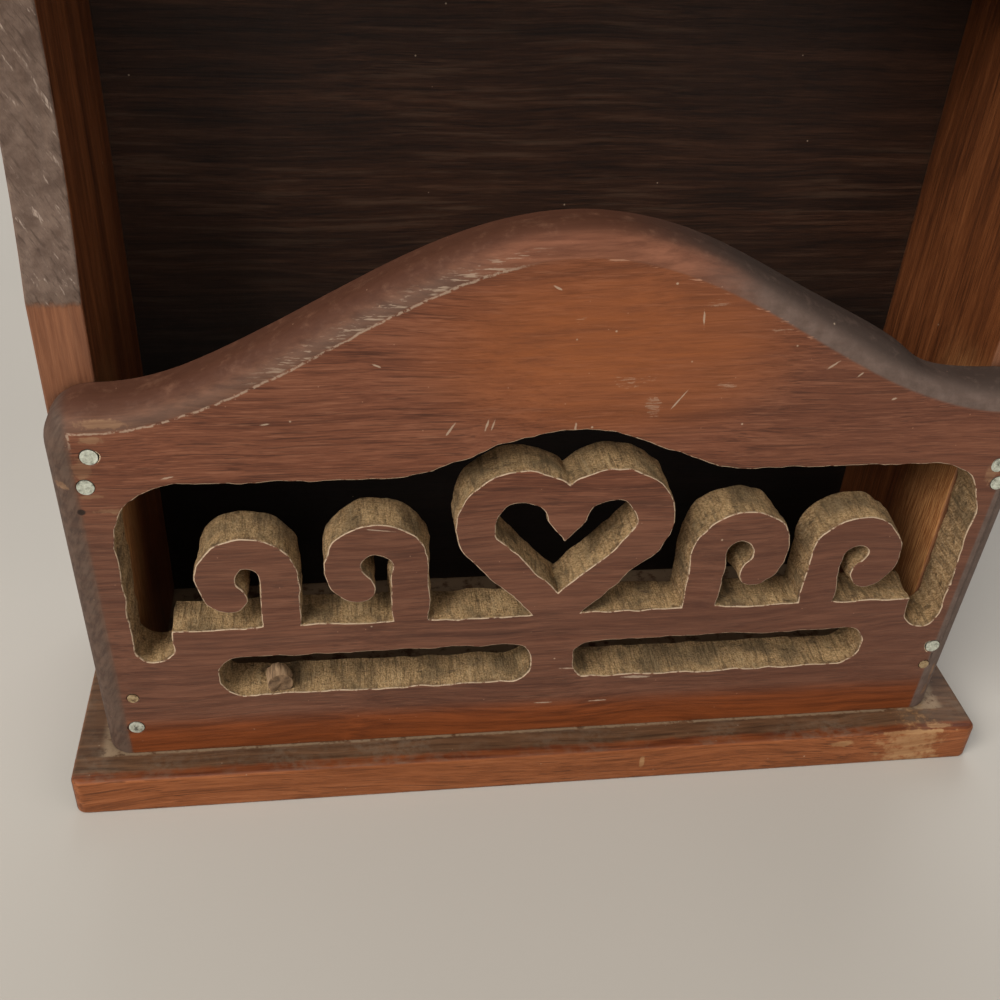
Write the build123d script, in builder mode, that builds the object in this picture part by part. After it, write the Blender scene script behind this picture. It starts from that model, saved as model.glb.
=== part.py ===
"""Wooden napkin holder: a fretted front panel and pocket below, a small drawer above.

Millimetres. +X right, +Y back, +Z up. The origin is the middle of the base board's
underside, so the holder stands on z = 0 and faces -Y.
"""

from build123d import *
import os
from math import atan2, cos, degrees, pi, tan

# ---- case boards
board_t = 10.0  # thickness of every board in the case
case_w = 200.0  # across the outer faces of the two side boards
pocket_d = 47.5  # clear depth, front panel to back panel
pocket_h = 176.0  # base board to shelf, for napkins folded to about 165
drawer_bay_h = 44.0  # shelf to top board
lip_front = 8.0  # base and top boards stand this far ahead of the front panel
lip_side = 6.2  # and this far past each side board
plank_corner_r = 2.5  # rounded upright corners of the base and top boards
plank_edge_r = 1.0  # eased upper edges of the base and top boards

# ---- front panel
shoulder_h = 90.4  # panel foot to the low ends of its bell-shaped top
bell_rise = 34.1  # shoulder to crest
bell_fullness = 0.9  # below 1 fills out the bell's flanks
shoulder_r = 9.5  # upper corners
face_round_r = 5.5  # router round along the front edge
lean_left = 1.2  # each end leans in by this much at the foot
lean_right = 2.8

# ---- fretwork window in the front panel
stile_w = 10.0  # wood left at each end of the window
window_off = 0.8  # the window's middle lies this far right of the panel's
window_h = 73.0  # panel foot to the window's straight top
window_r = 13.0  # its upper corners
swell_rise = 10.5  # the top's low swell over the middle
swell_half = 38.0  # half the swell's width
slot_foot = 16.5  # panel foot to the two slots
slot_h = 11.0
slot_r = 4.5
slot_post_w = 9.5  # wood between the slots
slot_stop = 9.0  # wood between each slot and the end gap beside it
rail_w = 8.5  # wood between the slots and the window
end_gap = 8.0  # open gap beyond each end of the rail
end_gap_r = 3.5

# ---- scrollwork standing on the rail
stroke_w = 8.0
scroll_gap = 5.0  # clear space between neighbouring scrolls
heart_r = 9.5  # centre line of the heart's round lobes
heart_h = 24.5  # rail to the middle of the lobes
inner_frond_r = 7.0  # centre lines of the curled fronds
inner_frond_h = 15.0
outer_frond_r = 6.5
outer_frond_h = 13.0
frond_turn = 232.0  # degrees that each frond curls through
root_sink = 2.0  # strokes start this far inside the rail

# ---- side boards
scoop_foot = 106.5  # base board to the start of the scooped front edge
scoop_len = 68.0
scoop_deep = 4.5

# ---- back panel's crest above the top board
crest_foot = 12.0  # top board to the low ends of the crest
crest_rise = 27.0
edge_ease = 0.8  # light rounding along the other boards' front edges

# ---- drawer
gap_side = 0.5  # between the drawer front and each side board
gap_top = 0.8
gap_foot = 0.3  # running gap over the shelf
gap_back = 0.5
box_inset = 0.5  # drawer sides set in from the ends of the front
drawer_front_t = 10.0
drawer_side_t = 6.0
drawer_side_h = 38.0
drawer_back_t = 6.0
drawer_bottom_t = 3.0
rabbet_d = 5.0  # depth of the front's rabbets, which hold the sides
groove_d = 3.0
groove_up = 3.0  # lower edge of the drawer sides to their groove
groove_fit = 0.1  # play of the bottom in its grooves, sideways and above

# ---- knob and its screw
knob_r = 10.0
knob_foot_r = 7.0
knob_foot_t = 2.5
knob_neck_r = 5.0
knob_rim_at = 11.5  # drawer front to the knob's widest ring
knob_len = 17.4
screw_r = 1.6
screw_len = 22.0
screw_head_r = 3.4
screw_head_t = 1.8
screw_slot_w = 0.8
screw_slot_d = 0.8
screw_fit = 0.1

# ---- nails in the front panel: distance in from its end, height above its foot
left_nails = ((8.7, 79.9), (7.1, 73.1), (8.3, 8.2))
right_nails = ((7.4, 72.0), (6.1, 67.4), (7.6, 20.5))
left_brads = ((8.6, 17.1),)
right_brads = ((8.2, 14.6),)

# ---- nails, brads and tacks
nail_head_r = 1.65
nail_head_t = 1.0
nail_shank_r = 0.9
nail_length = 28.0
nail_taper = 3.0
brad_head_r = 1.2
brad_head_t = 1.0
brad_shank_r = 0.6
brad_length = 18.0
brad_taper = 2.0
tack_head_r = 1.2
tack_head_t = 0.6
tack_shank_r = 0.6
tack_length = 12.0
tack_taper = 1.5
nail = (nail_head_r, nail_head_t, nail_shank_r, nail_length, nail_taper)
brad = (brad_head_r, brad_head_t, brad_shank_r, brad_length, brad_taper)
tack = (tack_head_r, tack_head_t, tack_shank_r, tack_length, tack_taper)
nail_fit = 0.05
point_r = 0.2  # blunt tip of every nail
nail_low, nail_mid, nail_high = 0.2, 0.5, 0.8  # shares of an edge's length

# ---- levels and faces that follow
half_w = case_w / 2
inner_w = half_w - board_t
plank_w = case_w + 2 * lip_side
case_d = lip_front + board_t + pocket_d + board_t
front_y = lip_front - case_d / 2  # front face of the front panel
pocket_y = front_y + board_t
back_y = pocket_y + pocket_d  # front face of the back panel
rear_y = back_y + board_t
shelf_z = board_t + pocket_h
bay_z = shelf_z + board_t
top_z = bay_z + drawer_bay_h
crest_z = top_z + board_t

FRONT, REAR, DOWN, UP = (0, -1, 0), (0, 1, 0), (0, 0, -1), (0, 0, 1)


def facing_front(y):
    """Upright plane at y that looks along -Y, drawn with x across and z up."""
    return Plane.XZ.offset(-y)


def seat(x, y, z, outwards):
    """Plane on a board's face where a nail's head lies, its normal out of the wood."""
    return Plane(origin=(x, y, z), z_dir=outwards)


def along(start, length, shares):
    """Places along an edge at the given shares of its length."""
    return [start + length * share for share in shares]


def bore_nails(seats, kind):
    """Cut the counterbored holes of nails driven in at the seats."""
    head_r, head_t, shank_r, length, _ = kind
    with Locations(*seats):
        CounterBoreHole(shank_r + nail_fit, head_r + nail_fit, head_t, length + nail_fit)


def drive_nails(seats, kind):
    """Add a nail at each seat, its flat head level with the face."""
    head_r, head_t, shank_r, length, point = kind
    hung = (Align.CENTER, Align.CENTER, Align.MAX)
    with Locations(*seats):
        Cylinder(head_r, head_t, align=hung)
        Cylinder(shank_r, length - point, align=hung)
        with Locations((0, 0, point - length)):
            Cone(point_r, shank_r, point, align=hung)


def bell_curve(middle, half, foot, rise, fullness=1.0, steps=8):
    """Bell-shaped line through points of a raised cosine, level at both ends."""
    stations = [half * (2 * i / steps - 1) for i in range(steps + 1)]
    heights = [((1 + cos(pi * x / half)) / 2) ** fullness for x in stations]
    points = [(middle + x, foot + rise * h) for x, h in zip(stations, heights)]
    Spline(*points, tangents=((1, 0), (1, 0)))


def board_end(side, lean):
    """A panel's rounded upper corner, then its end leaning in towards the foot."""
    angle = atan2(lean, shoulder_h)
    turn = side * (90 + degrees(angle))
    start = (side * (half_w - shoulder_r), shoulder_z)
    corner = JernArc(start, (side, 0), shoulder_r, -turn) @ 1
    Line(corner, (corner.X - side * (corner.Y - board_t) * tan(angle), board_t))


def curl(x, stem_h, radius, side):
    """A sawn frond: a stem on the rail that curls over to one side, its tip round."""
    foot = (window_off + side * x, sill_z - root_sink)
    with BuildLine() as stroke:
        stem = Line(foot, (foot[0], sill_z + stem_h))
        hook = JernArc(stem @ 1, (0, 1), radius, -side * frond_turn)
    trace(stroke.edges(), stroke_w, mode=Mode.SUBTRACT)
    with Locations(hook @ 1):
        Circle(stroke_w / 2, mode=Mode.SUBTRACT)


def heart_side(side):
    """Half of an open heart: up the cleft, over one lobe and down to the point."""
    cleft = (window_off, sill_z + heart_h)
    with BuildLine() as stroke:
        lobe = JernArc(cleft, (0, 1), heart_r, -side * heart_turn)
        Line(lobe @ 1, (window_off, sill_z))
    trace(stroke.edges(), stroke_w, mode=Mode.SUBTRACT)


# ---- nail seats
def on_panel(side, spots):
    """Seats on the front panel's face, measured from its end and its foot."""
    return [seat(side * (half_w - x), front_y, board_t + z, FRONT) for x, z in spots]


edge_x = half_w - board_t / 2  # middle of a side board's thickness
window_half = half_w - stile_w
rail_half = window_half - end_gap
leg_x = rail_half - slot_stop / 2
rows_y = along(pocket_y, pocket_d, (nail_low, nail_mid))
foot_rows_y = along(pocket_y, pocket_d, (nail_mid, nail_high))
back_rows_z = along(board_t, pocket_h, (nail_low, nail_mid, nail_high)) + [bay_z + board_t]
rear_foot_x = along(-inner_w, 2 * inner_w, (nail_low, nail_mid, nail_high))

panel_nails = on_panel(-1, left_nails) + on_panel(1, right_nails)
panel_brads = on_panel(-1, left_brads) + on_panel(1, right_brads)
base_nails = [
    *(seat(x, y, 0, DOWN) for x in (-edge_x, edge_x) for y in foot_rows_y),
    *(seat(window_off + x, pocket_y - board_t / 2, 0, DOWN) for x in (-leg_x, 0, leg_x)),
    *(seat(x, rear_y - board_t / 2, 0, DOWN) for x in rear_foot_x),
]
back_nails = [seat(x, rear_y, z, REAR) for x in (-edge_x, edge_x) for z in back_rows_z]
shelf_mid_z = shelf_z + board_t / 2
shelf_nails = [seat(s * half_w, y, shelf_mid_z, (s, 0, 0)) for s in (-1, 1) for y in rows_y]
top_nails = [seat(x, y, crest_z, UP) for x in (-edge_x, edge_x) for y in rows_y]

# ---- base board
with BuildPart() as base_board:
    with BuildSketch():
        Rectangle(plank_w, case_d)
    extrude(amount=board_t)
    fillet(base_board.edges().filter_by(Axis.Z), plank_corner_r)
    fillet(base_board.faces().sort_by(Axis.Z)[-1].edges(), plank_edge_r)
    bore_nails(base_nails, nail)

# ---- front panel: a bell-topped board with its fretwork window
shoulder_z = board_t + shoulder_h
slot_z = board_t + slot_foot
rail_z = slot_z + slot_h
sill_z = rail_z + rail_w
window_z = board_t + window_h
slot_w = rail_half - slot_stop - slot_post_w / 2
slot_x = slot_post_w / 2 + slot_w / 2

heart_half = 2 * heart_r + stroke_w / 2
heart_turn = 180 + 2 * degrees(atan2(heart_r, heart_h))
inner_x = heart_half + scroll_gap + stroke_w / 2
outer_x = inner_x + 2 * inner_frond_r + stroke_w + scroll_gap

with BuildPart() as front_panel:
    with BuildSketch(facing_front(pocket_y)):
        with BuildLine() as outline:
            bell_curve(0, half_w - shoulder_r, shoulder_z, bell_rise, bell_fullness)
            board_end(-1, lean_left)
            board_end(1, lean_right)
            Line(*outline.vertices().group_by(Axis.Y)[0])
        make_face()
    extrude(amount=board_t)
    front_face = front_panel.faces().filter_by(Axis.Y).sort_by(Axis.Y)[0]
    fillet(front_face.edges().sort_by(Axis.Z)[1:], face_round_r)

    with BuildSketch(facing_front(pocket_y)) as fretwork:
        with Locations((window_off, rail_z)):
            Rectangle(2 * window_half, window_z - rail_z, align=(Align.CENTER, Align.MIN))
        fillet(fretwork.vertices().group_by(Axis.Y)[-1], window_r)
        with BuildLine():
            bell_curve(window_off, swell_half, window_z, swell_rise)
            Line((window_off - swell_half, window_z), (window_off + swell_half, window_z))
        make_face()
        with Locations((window_off, rail_z)):
            Rectangle(2 * rail_half, rail_w, align=(Align.CENTER, Align.MIN), mode=Mode.SUBTRACT)
        fillet(fretwork.vertices().group_by(Axis.Y)[0], end_gap_r)
        for side in (-1, 1):
            heart_side(side)
            curl(inner_x, inner_frond_h, inner_frond_r, side)
            curl(outer_x, outer_frond_h, outer_frond_r, side)
            with Locations((window_off + side * slot_x, slot_z + slot_h / 2)):
                RectangleRounded(slot_w, slot_h, slot_r)
    extrude(amount=board_t, mode=Mode.SUBTRACT)
    bore_nails(panel_nails, nail)
    bore_nails(panel_brads, brad)
    bore_nails(base_nails, nail)


# ---- side boards, their front edges scooped between the pocket and the drawer
def side_profile():
    """Side board seen from its end, with the scooped front edge."""
    low, high = board_t + scoop_foot, board_t + scoop_foot + scoop_len
    with BuildLine() as profile:
        Line((pocket_y, board_t), (pocket_y, low))
        ThreePointArc(
            (pocket_y, low), (pocket_y + scoop_deep, (low + high) / 2), (pocket_y, high)
        )
        Polyline(
            (pocket_y, high), (pocket_y, top_z), (back_y, top_z), (back_y, board_t),
            (pocket_y, board_t),
        )
    make_face(profile.edges())


def nail_side():
    """Holes of every nail that enters a side board."""
    bore_nails(panel_nails, nail)
    bore_nails(panel_brads, brad)
    bore_nails(base_nails, nail)
    bore_nails(back_nails, nail)
    bore_nails(shelf_nails, nail)
    bore_nails(top_nails, nail)


with BuildPart() as left_side:
    with BuildSketch(Plane.YZ.offset(-half_w)):
        side_profile()
    extrude(amount=board_t)
    nail_side()

with BuildPart() as right_side:
    with BuildSketch(Plane.YZ.offset(inner_w)):
        side_profile()
    extrude(amount=board_t)
    nail_side()

# ---- back panel, with a crest above the top board
with BuildPart() as back_panel:
    crest_foot_z = crest_z + crest_foot
    with BuildSketch(facing_front(rear_y)):
        with BuildLine():
            bell_curve(0, half_w - shoulder_r, crest_foot_z, crest_rise, bell_fullness)
            for side in (-1, 1):
                start = (side * (half_w - shoulder_r), crest_foot_z)
                corner = JernArc(start, (side, 0), shoulder_r, -side * 90)
                Line(corner @ 1, (side * half_w, crest_z))
            Line((-half_w, crest_z), (half_w, crest_z))
        make_face()
    extrude(amount=board_t)
    crest_face = back_panel.faces().filter_by(Axis.Y).sort_by(Axis.Y)[0]
    fillet(crest_face.edges().sort_by(Axis.Z)[1:], face_round_r)
    with BuildSketch(facing_front(rear_y)):
        with Locations((0, board_t)):
            Rectangle(case_w, crest_z - board_t, align=(Align.CENTER, Align.MIN))
    extrude(amount=board_t)
    bore_nails(base_nails, nail)
    bore_nails(back_nails, nail)

# ---- shelf under the drawer
with BuildPart() as shelf:
    with BuildSketch(Plane.XY.offset(shelf_z)):
        with Locations((0, pocket_y)):
            Rectangle(2 * inner_w, pocket_d, align=(Align.CENTER, Align.MIN))
    extrude(amount=board_t)
    fillet(shelf.faces().sort_by(Axis.Y)[0].edges().filter_by(Axis.X), edge_ease)
    bore_nails(shelf_nails, nail)

# ---- top board
with BuildPart() as top_board:
    with BuildSketch(Plane.XY.offset(top_z)):
        with Locations((0, back_y)):
            Rectangle(plank_w, pocket_d + lip_front, align=(Align.CENTER, Align.MAX))
    extrude(amount=board_t)
    fillet(top_board.edges().filter_by(Axis.Z).group_by(Axis.Y)[0], plank_corner_r)
    rim = top_board.faces().sort_by(Axis.Z)[-1].edges()
    fillet(rim.sort_by(Axis.Y)[:-1], plank_edge_r)
    bore_nails(top_nails, nail)

# ---- nails in the case
with BuildPart() as front_panel_nails:
    drive_nails(panel_nails, nail)

with BuildPart() as front_panel_brads:
    drive_nails(panel_brads, brad)

with BuildPart() as base_board_nails:
    drive_nails(base_nails, nail)

with BuildPart() as back_panel_nails:
    drive_nails(back_nails, nail)

with BuildPart() as shelf_end_nails:
    drive_nails(shelf_nails, nail)

with BuildPart() as top_board_nails:
    drive_nails(top_nails, nail)

# ---- drawer: levels and faces that follow
front_half = inner_w - gap_side
box_half = front_half - box_inset
box_inner = box_half - drawer_side_t
drawer_z = bay_z + gap_foot
drawer_front_h = drawer_bay_h - gap_foot - gap_top
drawer_inner_y = pocket_y + drawer_front_t
rabbet_y = drawer_inner_y - rabbet_d
drawer_rear_y = back_y - gap_back
groove_z = drawer_z + groove_up
groove_h = drawer_bottom_t + groove_fit
drawer_floor_z = groove_z + drawer_bottom_t
side_top_z = drawer_z + drawer_side_h
knob_z = drawer_z + drawer_front_h / 2

brad_z = along(drawer_floor_z, side_top_z - drawer_floor_z, (nail_low, nail_high))
brad_y = (drawer_inner_y - rabbet_d / 2, drawer_rear_y - drawer_back_t / 2)
corner_brads = [
    seat(s * box_half, y, z, (s, 0, 0)) for s in (-1, 1) for y in brad_y for z in brad_z
]
tack_x = along(-box_inner, 2 * box_inner, (nail_low, nail_mid, nail_high))
bottom_tacks = [seat(x, brad_y[1], groove_z, DOWN) for x in tack_x]
screw_seat = Plane(origin=(0, drawer_inner_y, knob_z), z_dir=REAR)


def block(x, y, z, mode=Mode.ADD):
    """Square-cornered block between pairs of x, y and z."""
    with Locations((x[0], y[0], z[0])):
        Box(x[1] - x[0], y[1] - y[0], z[1] - z[0], align=(Align.MIN,) * 3, mode=mode)


with BuildPart() as drawer_front:
    block((-front_half, front_half), (pocket_y, drawer_inner_y), (drawer_z, drawer_z + drawer_front_h))
    fillet(drawer_front.faces().sort_by(Axis.Y)[0].edges(), edge_ease)
    heights = (drawer_z, drawer_z + drawer_front_h)
    block((-front_half, -box_inner), (rabbet_y, drawer_inner_y), heights, Mode.SUBTRACT)
    block((box_inner, front_half), (rabbet_y, drawer_inner_y), heights, Mode.SUBTRACT)
    groove_y = drawer_inner_y - groove_d
    groove = (groove_z, groove_z + groove_h)
    block((-box_inner, box_inner), (groove_y, drawer_inner_y), groove, Mode.SUBTRACT)
    bore_nails(corner_brads, brad)
    with Locations(screw_seat):
        Hole(screw_r + screw_fit)


def drawer_side(side):
    """Board behind one end of the drawer front, grooved for the bottom."""
    outer, inner = side * box_half, side * box_inner
    block(sorted((outer, inner)), (rabbet_y, drawer_rear_y), (drawer_z, side_top_z))
    cut = sorted((inner, inner + side * groove_d))
    block(cut, (rabbet_y, drawer_rear_y), (groove_z, groove_z + groove_h), Mode.SUBTRACT)
    bore_nails(corner_brads, brad)


with BuildPart() as drawer_left_side:
    drawer_side(-1)

with BuildPart() as drawer_right_side:
    drawer_side(1)

with BuildPart() as drawer_back:
    back_face_y = drawer_rear_y - drawer_back_t
    block((-box_inner, box_inner), (back_face_y, drawer_rear_y), (drawer_floor_z, side_top_z))
    bore_nails(corner_brads, brad)
    bore_nails(bottom_tacks, tack)

with BuildPart() as drawer_bottom:
    bottom_half = box_inner + groove_d - groove_fit
    bottom_y = drawer_inner_y - groove_d + groove_fit
    block((-bottom_half, bottom_half), (bottom_y, drawer_rear_y), (groove_z, drawer_floor_z))
    bore_nails(bottom_tacks, tack)

with BuildPart() as drawer_corner_brads:
    drive_nails(corner_brads, brad)

with BuildPart() as drawer_bottom_tacks:
    drive_nails(bottom_tacks, tack)

# ---- turned knob, held by a screw from inside the drawer
with BuildPart() as drawer_knob:
    with BuildSketch(Plane(origin=(0, pocket_y, knob_z), z_dir=UP)):
        with BuildLine():
            foot = Polyline((0, 0), (knob_foot_r, 0), (knob_foot_r, -knob_foot_t))
            cove_y = -(knob_foot_t + knob_rim_at) / 2
            ThreePointArc(foot @ 1, (knob_neck_r, cove_y), (knob_r, -knob_rim_at))
            TangentArc((0, -knob_len), (knob_r, -knob_rim_at), tangent=(1, 0))
            Line((0, -knob_len), (0, 0))
        make_face()
    revolve(axis=Axis((0, pocket_y, knob_z), REAR))
    with Locations(screw_seat):
        Hole(screw_r + nail_fit, screw_len + nail_fit)

with BuildPart() as knob_screw:
    with Locations(screw_seat):
        Cylinder(screw_head_r, screw_head_t, align=(Align.CENTER, Align.CENTER, Align.MIN))
        with Locations((0, 0, screw_head_t)):
            Box(
                2 * screw_head_r, screw_slot_w, screw_slot_d,
                align=(Align.CENTER, Align.CENTER, Align.MAX), mode=Mode.SUBTRACT,
            )
        Cylinder(screw_r, screw_len, align=(Align.CENTER, Align.CENTER, Align.MAX))

# ---- one file for each piece
pieces = {
    "base_board": base_board,
    "front_panel": front_panel,
    "left_side": left_side,
    "right_side": right_side,
    "back_panel": back_panel,
    "shelf": shelf,
    "top_board": top_board,
    "front_panel_nails": front_panel_nails,
    "front_panel_brads": front_panel_brads,
    "base_board_nails": base_board_nails,
    "back_panel_nails": back_panel_nails,
    "shelf_end_nails": shelf_end_nails,
    "top_board_nails": top_board_nails,
    "drawer_front": drawer_front,
    "drawer_left_side": drawer_left_side,
    "drawer_right_side": drawer_right_side,
    "drawer_back": drawer_back,
    "drawer_bottom": drawer_bottom,
    "drawer_corner_brads": drawer_corner_brads,
    "drawer_bottom_tacks": drawer_bottom_tacks,
    "drawer_knob": drawer_knob,
    "knob_screw": knob_screw,
}
os.makedirs("parts", exist_ok=True)
for name, piece in pieces.items():
    piece.part.label = name
    export_step(piece.part, f"parts/{name}.step")
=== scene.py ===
"""Looks of a stained wooden napkin holder with a fretwork front and a small drawer.

Metres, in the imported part's frame: +X right, +Y back, +Z up, the base stands on z = 0.
Patterns are laid out in millimetres.
"""

from contextlib import contextmanager
from math import atan2, cos, hypot, pi, radians, sin

import bmesh
import bpy
from mathutils import Matrix, Vector


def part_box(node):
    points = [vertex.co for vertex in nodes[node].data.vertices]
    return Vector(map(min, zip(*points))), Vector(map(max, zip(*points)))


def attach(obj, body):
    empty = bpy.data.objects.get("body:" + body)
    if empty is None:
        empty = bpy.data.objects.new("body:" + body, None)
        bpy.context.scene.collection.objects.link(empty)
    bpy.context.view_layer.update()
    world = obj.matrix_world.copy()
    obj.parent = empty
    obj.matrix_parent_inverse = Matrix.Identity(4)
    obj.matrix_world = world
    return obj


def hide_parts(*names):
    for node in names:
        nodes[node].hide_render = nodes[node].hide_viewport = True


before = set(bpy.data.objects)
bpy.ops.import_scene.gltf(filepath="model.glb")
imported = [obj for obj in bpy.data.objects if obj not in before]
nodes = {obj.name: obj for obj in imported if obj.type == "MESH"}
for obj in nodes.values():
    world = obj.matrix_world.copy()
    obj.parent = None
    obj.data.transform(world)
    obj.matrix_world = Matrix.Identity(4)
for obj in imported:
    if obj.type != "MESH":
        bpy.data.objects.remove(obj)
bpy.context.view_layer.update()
MM = 0.001

# ---- the front panel's outline, in millimetres, as the part has it
panel_lo, panel_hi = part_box("front_panel")
FACE_Y = panel_lo.y / MM
PANEL_BACK_Y = panel_hi.y / MM
PANEL_HALF = panel_hi.x / MM
PANEL_FOOT = panel_lo.z / MM
BELL_RISE = 34.1
BELL_FULLNESS = 0.9
SHOULDER = panel_hi.z / MM - BELL_RISE
CORNER = 9.5  # radius of its upper corners
BELL_HALF = PANEL_HALF - CORNER
LEAN_LEFT = 1.2
LEAN_RIGHT = 2.8
ROUND = 5.5  # radius of its rounded front edge

# ---- the region of its fretwork
FRET_LEFT, FRET_RIGHT = -89.8, 91.4
FRET_FOOT, FRET_TOP = 25.7, 94.3
CLEFT = (0.8, 70.5)  # middle of the square end of the heart's cleft
CLEFT_HALF = 4.0
CLEFT_DROP = 4.5
CLEFT_NARROW = 0.04  # share of its width that is left at the point
SAW_STEP = 1.3  # spacing of the cuts that let the sawn edges stray
WALL_STEP = 1.5
WALL_SKIN = ROUND / 5  # the walls stray between this far behind the face and ahead of the back
OUTLINE_STRAY = (6.0, 2.0)  # length of each wander, and its full width
WALL_STRAY = (2.6, 1.2)

# ---- the broken stub that the saw left in a slot
STUB_PLACE = (-60.0, -27.0, 28.5)
STUB_HALF = 2.7
STUB_LONG = 4.0
STUB_TILT = radians(8)
STUB_STRAY = (1.6, 1.5)
STUB_LEAN = (1.1, 0.8)

# ---- the scoop in the side boards' front edges
SCOOP_FOOT, SCOOP_TOP = 116.5, 184.5
INNER_HALF = 90.0  # middle to the inner face of a side board

# ---- worn edges
ARRIS = 0.3 * MM  # worn width of the fretwork's edges
EDGE = 0.6 * MM  # worn width of the other boards' edges
FINE_EDGE = 0.35 * MM
RUB_RADIUS = 1.0 * MM
GRIME_SHADE_REACH = 2.5 * MM

# ---- colours as linear red, green and blue; tones run from dark to light
WORN = (0.42, 0.27, 0.15)
PALE_CHIP = (0.5, 0.38, 0.27)
# near-black tint of grime and painted shade in corners
GRIME_SHADE_COLOUR = (0.02, 0.011, 0.007)
FACE_TONES = ((0.088, 0.027, 0.013), (0.158, 0.052, 0.025), (0.225, 0.083, 0.042))
SAWN_TONES = ((0.14, 0.076, 0.03), (0.43, 0.255, 0.11), (0.78, 0.53, 0.29))
OLIVE_TONES = ((0.18, 0.105, 0.043), (0.54, 0.335, 0.15), (0.85, 0.6, 0.32))
STUB_TONES = ((0.2, 0.12, 0.065), (0.36, 0.23, 0.13), (0.5, 0.34, 0.2))
BASE_TONES = ((0.13, 0.036, 0.009), (0.235, 0.07, 0.02), (0.33, 0.11, 0.038))
SIDE_TONES = ((0.062, 0.018, 0.006), (0.13, 0.038, 0.011), (0.215, 0.07, 0.022))
TOP_TONES = ((0.06, 0.024, 0.012), (0.13, 0.05, 0.024), (0.21, 0.085, 0.04))
# the back panel's tones, darkened as painted shade of the deep pocket
SHADED_BACK_TONES = ((0.013, 0.0048, 0.002), (0.031, 0.0112, 0.0046), (0.062, 0.0245, 0.0112))
SHELF_TONES = ((0.06, 0.02, 0.008), (0.13, 0.043, 0.017), (0.2, 0.075, 0.032))
BOX_TONES = ((0.26, 0.155, 0.08), (0.4, 0.26, 0.145), (0.52, 0.36, 0.22))
BOX_WORN = (0.5, 0.36, 0.22)
NAIL_TONES = ((0.5, 0.52, 0.43), (0.76, 0.79, 0.68))
BRAD_TONES = ((0.34, 0.23, 0.12), (0.56, 0.43, 0.25))


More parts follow.
